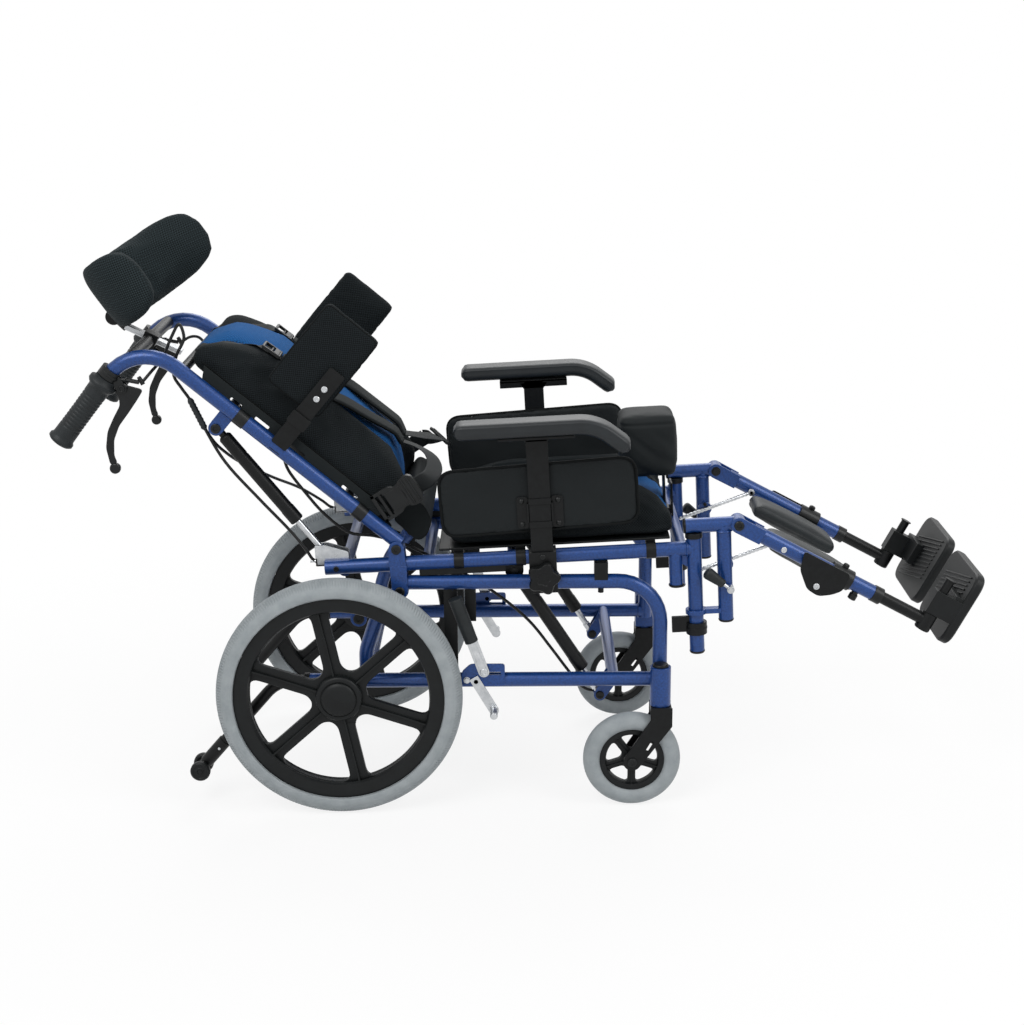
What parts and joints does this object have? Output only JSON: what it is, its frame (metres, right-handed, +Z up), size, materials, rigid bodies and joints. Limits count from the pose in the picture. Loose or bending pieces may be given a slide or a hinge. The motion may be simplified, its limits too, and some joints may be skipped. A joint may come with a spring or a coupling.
{
  "type": "tilt in space wheelchair",
  "caption": "Reclining tilt in space transit wheelchair with headrest, lateral supports, elevating legrests, thigh block, parking brakes and anti-tip wheels.",
  "frame": {"origin": "on the floor, under the middle of the whole chair's length and on its middle plane", "axes": "+X to the front of the chair, towards the feet; +Y to the user's left; +Z up"},
  "size_m": [1.5002, 0.524, 0.9433],
  "materials": {
    "blue_frame": "glossy metallic blue lacquer",
    "black_metal": "satin black lacquer",
    "bare_steel": "bright zinc plated",
    "grey_tyre": "grey solid polyurethane",
    "black_plastic": "moulded, fine grain",
    "black_rubber": "ribbed grip rubber",
    "black_mesh": "black spacer mesh fabric",
    "blue_fabric": "blue woven fabric centre strip between black mesh sides",
    "black_vinyl": "black vinyl"
  },
  "bodies": {
    "base": {"base_frame": "blue_frame", "antitip_tube_right": "black_metal", "antitip_tube_left": "black_metal"},
    "seat": {"seat_frame": "blue_frame", "seat_cushion": "black_mesh", "thigh_block": "black_mesh"},
    "back": {"back_frame": "blue_frame", "back_cushion": "blue_fabric", "push_grip_right": "black_rubber", "push_grip_left": "black_rubber", "recline_cable": "black_plastic", "tilt_cable": "black_plastic"},
    "headrest_mast": {"headrest_bracket": "black_metal"},
    "headrest": {"headrest_pad": "black_mesh"},
    "rear_wheel_right": {"rear_wheel_right": "black_plastic", "rear_tyre_right": "grey_tyre"},
    "antitip_wheel_right": {"antitip_wheel_right": "black_plastic"},
    "caster_fork_right": {"caster_fork_right": "black_metal"},
    "caster_wheel_right": {"caster_wheel_right": "grey_tyre"},
    "brake_lever_right": {"parking_brake_lever_right": "bare_steel"},
    "brake_shoe_right": {"parking_brake_shoe_right": "bare_steel"},
    "tilt_strut_rod_right": {"tilt_strut_rod_right": "bare_steel"},
    "tilt_strut_cylinder_right": {"tilt_strut_cylinder_right": "black_metal"},
    "armrest_right": {"armrest_post_right": "black_metal", "armrest_pad_right": "black_plastic", "side_panel_right": "black_mesh"},
    "hanger_right": {"legrest_hanger_right": "blue_frame"},
    "legrest_release_right": {"legrest_lever_right": "black_plastic"},
    "leg_right": {"legrest_tube_right": "blue_frame"},
    "extension_right": {"legrest_extension_right": "black_metal"},
    "footplate_right": {"footplate_right": "black_plastic"},
    "calf_pad_right": {"calf_pad_right": "black_vinyl"},
    "legrest_rod_right": {"legrest_rod_right": "bare_steel"},
    "hand_lever_right": {"hand_lever_right": "black_plastic"},
    "lateral_pad_right": {"lateral_pad_right": "black_mesh"},
    "recline_strut_cylinder_right": {"recline_strut_cylinder_right": "black_metal"},
    "recline_strut_rod_right": {"recline_strut_rod_right": "bare_steel"},
    "rear_wheel_left": {"rear_wheel_left": "black_plastic", "rear_tyre_left": "grey_tyre"},
    "antitip_wheel_left": {"antitip_wheel_left": "black_plastic"},
    "caster_fork_left": {"caster_fork_left": "black_metal"},
    "caster_wheel_left": {"caster_wheel_left": "grey_tyre"},
    "brake_lever_left": {"parking_brake_lever_left": "bare_steel"},
    "brake_shoe_left": {"parking_brake_shoe_left": "bare_steel"},
    "tilt_strut_rod_left": {"tilt_strut_rod_left": "bare_steel"},
    "tilt_strut_cylinder_left": {"tilt_strut_cylinder_left": "black_metal"},
    "armrest_left": {"armrest_post_left": "black_metal", "armrest_pad_left": "black_plastic", "side_panel_left": "black_mesh"},
    "hanger_left": {"legrest_hanger_left": "blue_frame"},
    "legrest_release_left": {"legrest_lever_left": "black_plastic"},
    "leg_left": {"legrest_tube_left": "blue_frame"},
    "extension_left": {"legrest_extension_left": "black_metal"},
    "footplate_left": {"footplate_left": "black_plastic"},
    "calf_pad_left": {"calf_pad_left": "black_vinyl"},
    "legrest_rod_left": {"legrest_rod_left": "bare_steel"},
    "hand_lever_left": {"hand_lever_left": "black_plastic"},
    "lateral_pad_left": {"lateral_pad_left": "black_mesh"},
    "recline_strut_cylinder_left": {"recline_strut_cylinder_left": "black_metal"},
    "recline_strut_rod_left": {"recline_strut_rod_left": "bare_steel"}
  },
  "joints": [
    {"name": "tilt", "type": "hinge", "parent": "base", "child": "seat", "pos_m": [-0.19926, 0, 0.367], "axis": [0, -1, 0], "range_deg": [0, 30], "deforming": ["tilt_cable"]},
    {"name": "recline", "type": "hinge", "parent": "seat", "child": "back", "pos_m": [-0.20372, 0, 0.43787], "axis": [0, 1, 0], "range_deg": [0, 45], "deforming": ["recline_cable"]},
    {"name": "headrest_height", "type": "slide", "parent": "back", "child": "headrest_mast", "axis": [-0.897, 0, 0.4421], "range_m": [0, 0.06]},
    {"name": "headrest_angle", "type": "hinge", "parent": "headrest_mast", "child": "headrest", "pos_m": [-0.67295, 0, 0.78721], "axis": [0, 1, 0], "range_deg": [-20, 6]},
    {"name": "rear_wheel_spin_right", "type": "hinge", "parent": "base", "child": "rear_wheel_right", "pos_m": [-0.29926, -0.227, 0.2], "axis": [0, 1, 0], "continuous": true},
    {"name": "antitip_wheel_spin_right", "type": "hinge", "parent": "base", "child": "antitip_wheel_right", "pos_m": [-0.53626, -0.18, 0.059], "axis": [0, 1, 0], "continuous": true},
    {"name": "caster_swivel_right", "type": "hinge", "parent": "base", "child": "caster_fork_right", "pos_m": [0.22274, -0.203, 0.18], "axis": [0, 0, 1], "continuous": true},
    {"name": "caster_wheel_spin_right", "type": "hinge", "parent": "caster_fork_right", "child": "caster_wheel_right", "pos_m": [0.17674, -0.203, 0.08], "axis": [0, 1, 0], "continuous": true},
    {"name": "parking_brake_right", "type": "hinge", "parent": "base", "child": "brake_lever_right", "pos_m": [-0.06526, -0.202, 0.23], "axis": [0, 1, 0], "range_deg": [0, 50]},
    {"name": "parking_brake_shoe_swing_right", "type": "hinge", "parent": "base", "child": "brake_shoe_right", "pos_m": [-0.07826, -0.198, 0.212], "axis": [0, 1, 0], "range_deg": [0, 47.6]},
    {"name": "tilt_strut_swing_right", "type": "hinge", "parent": "base", "child": "tilt_strut_rod_right", "pos_m": [0.12574, -0.155, 0.176], "axis": [0, -1, 0], "range_deg": [-3, 0.5]},
    {"name": "tilt_strut_slide_right", "type": "slide", "parent": "tilt_strut_rod_right", "child": "tilt_strut_cylinder_right", "axis": [-0.5438, 0, 0.8392], "range_m": [0, 0.0957]},
    {"name": "armrest_height_right", "type": "slide", "parent": "seat", "child": "armrest_right", "axis": [-0.0488, 0, 0.9988], "range_m": [0, 0.06]},
    {"name": "legrest_swing_away_right", "type": "hinge", "parent": "seat", "child": "hanger_right", "pos_m": [0.27767, -0.18, 0.39033], "axis": [0.0488, 0, -0.9988], "range_deg": [0, 70]},
    {"name": "legrest_release_lever_right", "type": "hinge", "parent": "hanger_right", "child": "legrest_release_right", "pos_m": [0.33323, -0.203, 0.37002], "axis": [0, -1, 0], "range_deg": [0, 20], "stiffness_Nm_per_rad": 0.5},
    {"name": "legrest_elevate_right", "type": "hinge", "parent": "hanger_right", "child": "leg_right", "pos_m": [0.34568, -0.18, 0.47375], "axis": [0, -1, 0], "range_deg": [-40, 25]},
    {"name": "legrest_length_right", "type": "slide", "parent": "leg_right", "child": "extension_right", "axis": [0.8813, 0, -0.4726], "range_m": [0, 0.06]},
    {"name": "footplate_flip_right", "type": "hinge", "parent": "extension_right", "child": "footplate_right", "pos_m": [0.6559, -0.18, 0.30741], "axis": [0.4726, 0, 0.8813], "range_deg": [0, 50]},
    {"name": "calf_pad_swing_right", "type": "hinge", "parent": "leg_right", "child": "calf_pad_right", "pos_m": [0.51313, -0.18, 0.38396], "axis": [-0.8813, 0, 0.4726], "range_deg": [0, 60]},
    {"name": "legrest_rod_swing_right", "type": "hinge", "parent": "leg_right", "child": "legrest_rod_right", "pos_m": [0.409, -0.161, 0.43525], "axis": [0, -1, 0], "range_deg": [-12, 19]},
    {"name": "hand_lever_squeeze_right", "type": "hinge", "parent": "back", "child": "hand_lever_right", "pos_m": [-0.62996, -0.18, 0.70153], "axis": [0, 1, 0], "range_deg": [0, 18], "stiffness_Nm_per_rad": 2},
    {"name": "lateral_pad_depth_right", "type": "slide", "parent": "back", "child": "lateral_pad_right", "axis": [0.6428, 0, 0.766], "range_m": [-0.01, 0.04]},
    {"name": "recline_strut_swing_right", "type": "hinge", "parent": "back", "child": "recline_strut_cylinder_right", "pos_m": [-0.48705, -0.165, 0.63383], "axis": [0, -1, 0], "range_deg": [-3, 0.5]},
    {"name": "recline_strut_slide_right", "type": "slide", "parent": "recline_strut_cylinder_right", "child": "recline_strut_rod_right", "axis": [0.623, 0, -0.7822], "range_m": [0, 0.0875]},
    {"name": "rear_wheel_spin_left", "type": "hinge", "parent": "base", "child": "rear_wheel_left", "pos_m": [-0.29926, 0.227, 0.2], "axis": [0, 1, 0], "continuous": true},
    {"name": "antitip_wheel_spin_left", "type": "hinge", "parent": "base", "child": "antitip_wheel_left", "pos_m": [-0.53626, 0.18, 0.059], "axis": [0, 1, 0], "continuous": true},
    {"name": "caster_swivel_left", "type": "hinge", "parent": "base", "child": "caster_fork_left", "pos_m": [0.22274, 0.203, 0.18], "axis": [0, 0, 1], "continuous": true},
    {"name": "caster_wheel_spin_left", "type": "hinge", "parent": "caster_fork_left", "child": "caster_wheel_left", "pos_m": [0.17674, 0.203, 0.08], "axis": [0, 1, 0], "continuous": true},
    {"name": "parking_brake_left", "type": "hinge", "parent": "base", "child": "brake_lever_left", "pos_m": [-0.06526, 0.202, 0.23], "axis": [0, 1, 0], "range_deg": [0, 50]},
    {"name": "parking_brake_shoe_swing_left", "type": "hinge", "parent": "base", "child": "brake_shoe_left", "pos_m": [-0.07826, 0.198, 0.212], "axis": [0, 1, 0], "range_deg": [0, 47.6]},
    {"name": "tilt_strut_swing_left", "type": "hinge", "parent": "base", "child": "tilt_strut_rod_left", "pos_m": [0.12574, 0.155, 0.176], "axis": [0, -1, 0], "range_deg": [-3, 0.5]},
    {"name": "tilt_strut_slide_left", "type": "slide", "parent": "tilt_strut_rod_left", "child": "tilt_strut_cylinder_left", "axis": [-0.5438, 0, 0.8392], "range_m": [0, 0.0957]},
    {"name": "armrest_height_left", "type": "slide", "parent": "seat", "child": "armrest_left", "axis": [-0.0488, 0, 0.9988], "range_m": [0, 0.06]},
    {"name": "legrest_swing_away_left", "type": "hinge", "parent": "seat", "child": "hanger_left", "pos_m": [0.27767, 0.18, 0.39033], "axis": [-0.0488, 0, 0.9988], "range_deg": [0, 70]},
    {"name": "legrest_release_lever_left", "type": "hinge", "parent": "hanger_left", "child": "legrest_release_left", "pos_m": [0.33323, 0.203, 0.37002], "axis": [0, -1, 0], "range_deg": [0, 20], "stiffness_Nm_per_rad": 0.5},
    {"name": "legrest_elevate_left", "type": "hinge", "parent": "hanger_left", "child": "leg_left", "pos_m": [0.34568, 0.18, 0.47375], "axis": [0, -1, 0], "range_deg": [-40, 25]},
    {"name": "legrest_length_left", "type": "slide", "parent": "leg_left", "child": "extension_left", "axis": [0.8813, 0, -0.4726], "range_m": [0, 0.06]},
    {"name": "footplate_flip_left", "type": "hinge", "parent": "extension_left", "child": "footplate_left", "pos_m": [0.6559, 0.18, 0.30741], "axis": [-0.4726, 0, -0.8813], "range_deg": [0, 50]},
    {"name": "calf_pad_swing_left", "type": "hinge", "parent": "leg_left", "child": "calf_pad_left", "pos_m": [0.51313, 0.18, 0.38396], "axis": [0.8813, 0, -0.4726], "range_deg": [0, 60]},
    {"name": "legrest_rod_swing_left", "type": "hinge", "parent": "leg_left", "child": "legrest_rod_left", "pos_m": [0.409, 0.161, 0.43525], "axis": [0, -1, 0], "range_deg": [-12, 19]},
    {"name": "hand_lever_squeeze_left", "type": "hinge", "parent": "back", "child": "hand_lever_left", "pos_m": [-0.62996, 0.18, 0.70153], "axis": [0, 1, 0], "range_deg": [0, 18], "stiffness_Nm_per_rad": 2},
    {"name": "lateral_pad_depth_left", "type": "slide", "parent": "back", "child": "lateral_pad_left", "axis": [0.6428, 0, 0.766], "range_m": [-0.01, 0.04]},
    {"name": "recline_strut_swing_left", "type": "hinge", "parent": "back", "child": "recline_strut_cylinder_left", "pos_m": [-0.48705, 0.165, 0.63383], "axis": [0, -1, 0], "range_deg": [-3, 0.5]},
    {"name": "recline_strut_slide_left", "type": "slide", "parent": "recline_strut_cylinder_left", "child": "recline_strut_rod_left", "axis": [0.623, 0, -0.7822], "range_m": [0, 0.0875]}
  ],
  "couplings": [
    {"joint": "parking_brake_shoe_swing_right", "follows": "parking_brake_right", "ratio": 0.95},
    {"joint": "tilt_strut_swing_right", "follows": "tilt", "ratio": -0.092855},
    {"joint": "tilt_strut_slide_right", "follows": "tilt", "m_per_rad": 0.18243},
    {"joint": "legrest_rod_swing_right", "follows": "legrest_elevate_right", "ratio": -0.46},
    {"joint": "recline_strut_swing_right", "follows": "recline", "ratio": -0.039012},
    {"joint": "recline_strut_slide_right", "follows": "recline", "m_per_rad": 0.11103},
    {"joint": "parking_brake_shoe_swing_left", "follows": "parking_brake_left", "ratio": 0.95},
    {"joint": "tilt_strut_swing_left", "follows": "tilt", "ratio": -0.092855},
    {"joint": "tilt_strut_slide_left", "follows": "tilt", "m_per_rad": 0.18243},
    {"joint": "legrest_rod_swing_left", "follows": "legrest_elevate_left", "ratio": -0.46},
    {"joint": "recline_strut_swing_left", "follows": "recline", "ratio": -0.039012},
    {"joint": "recline_strut_slide_left", "follows": "recline", "m_per_rad": 0.11103}
  ]
}
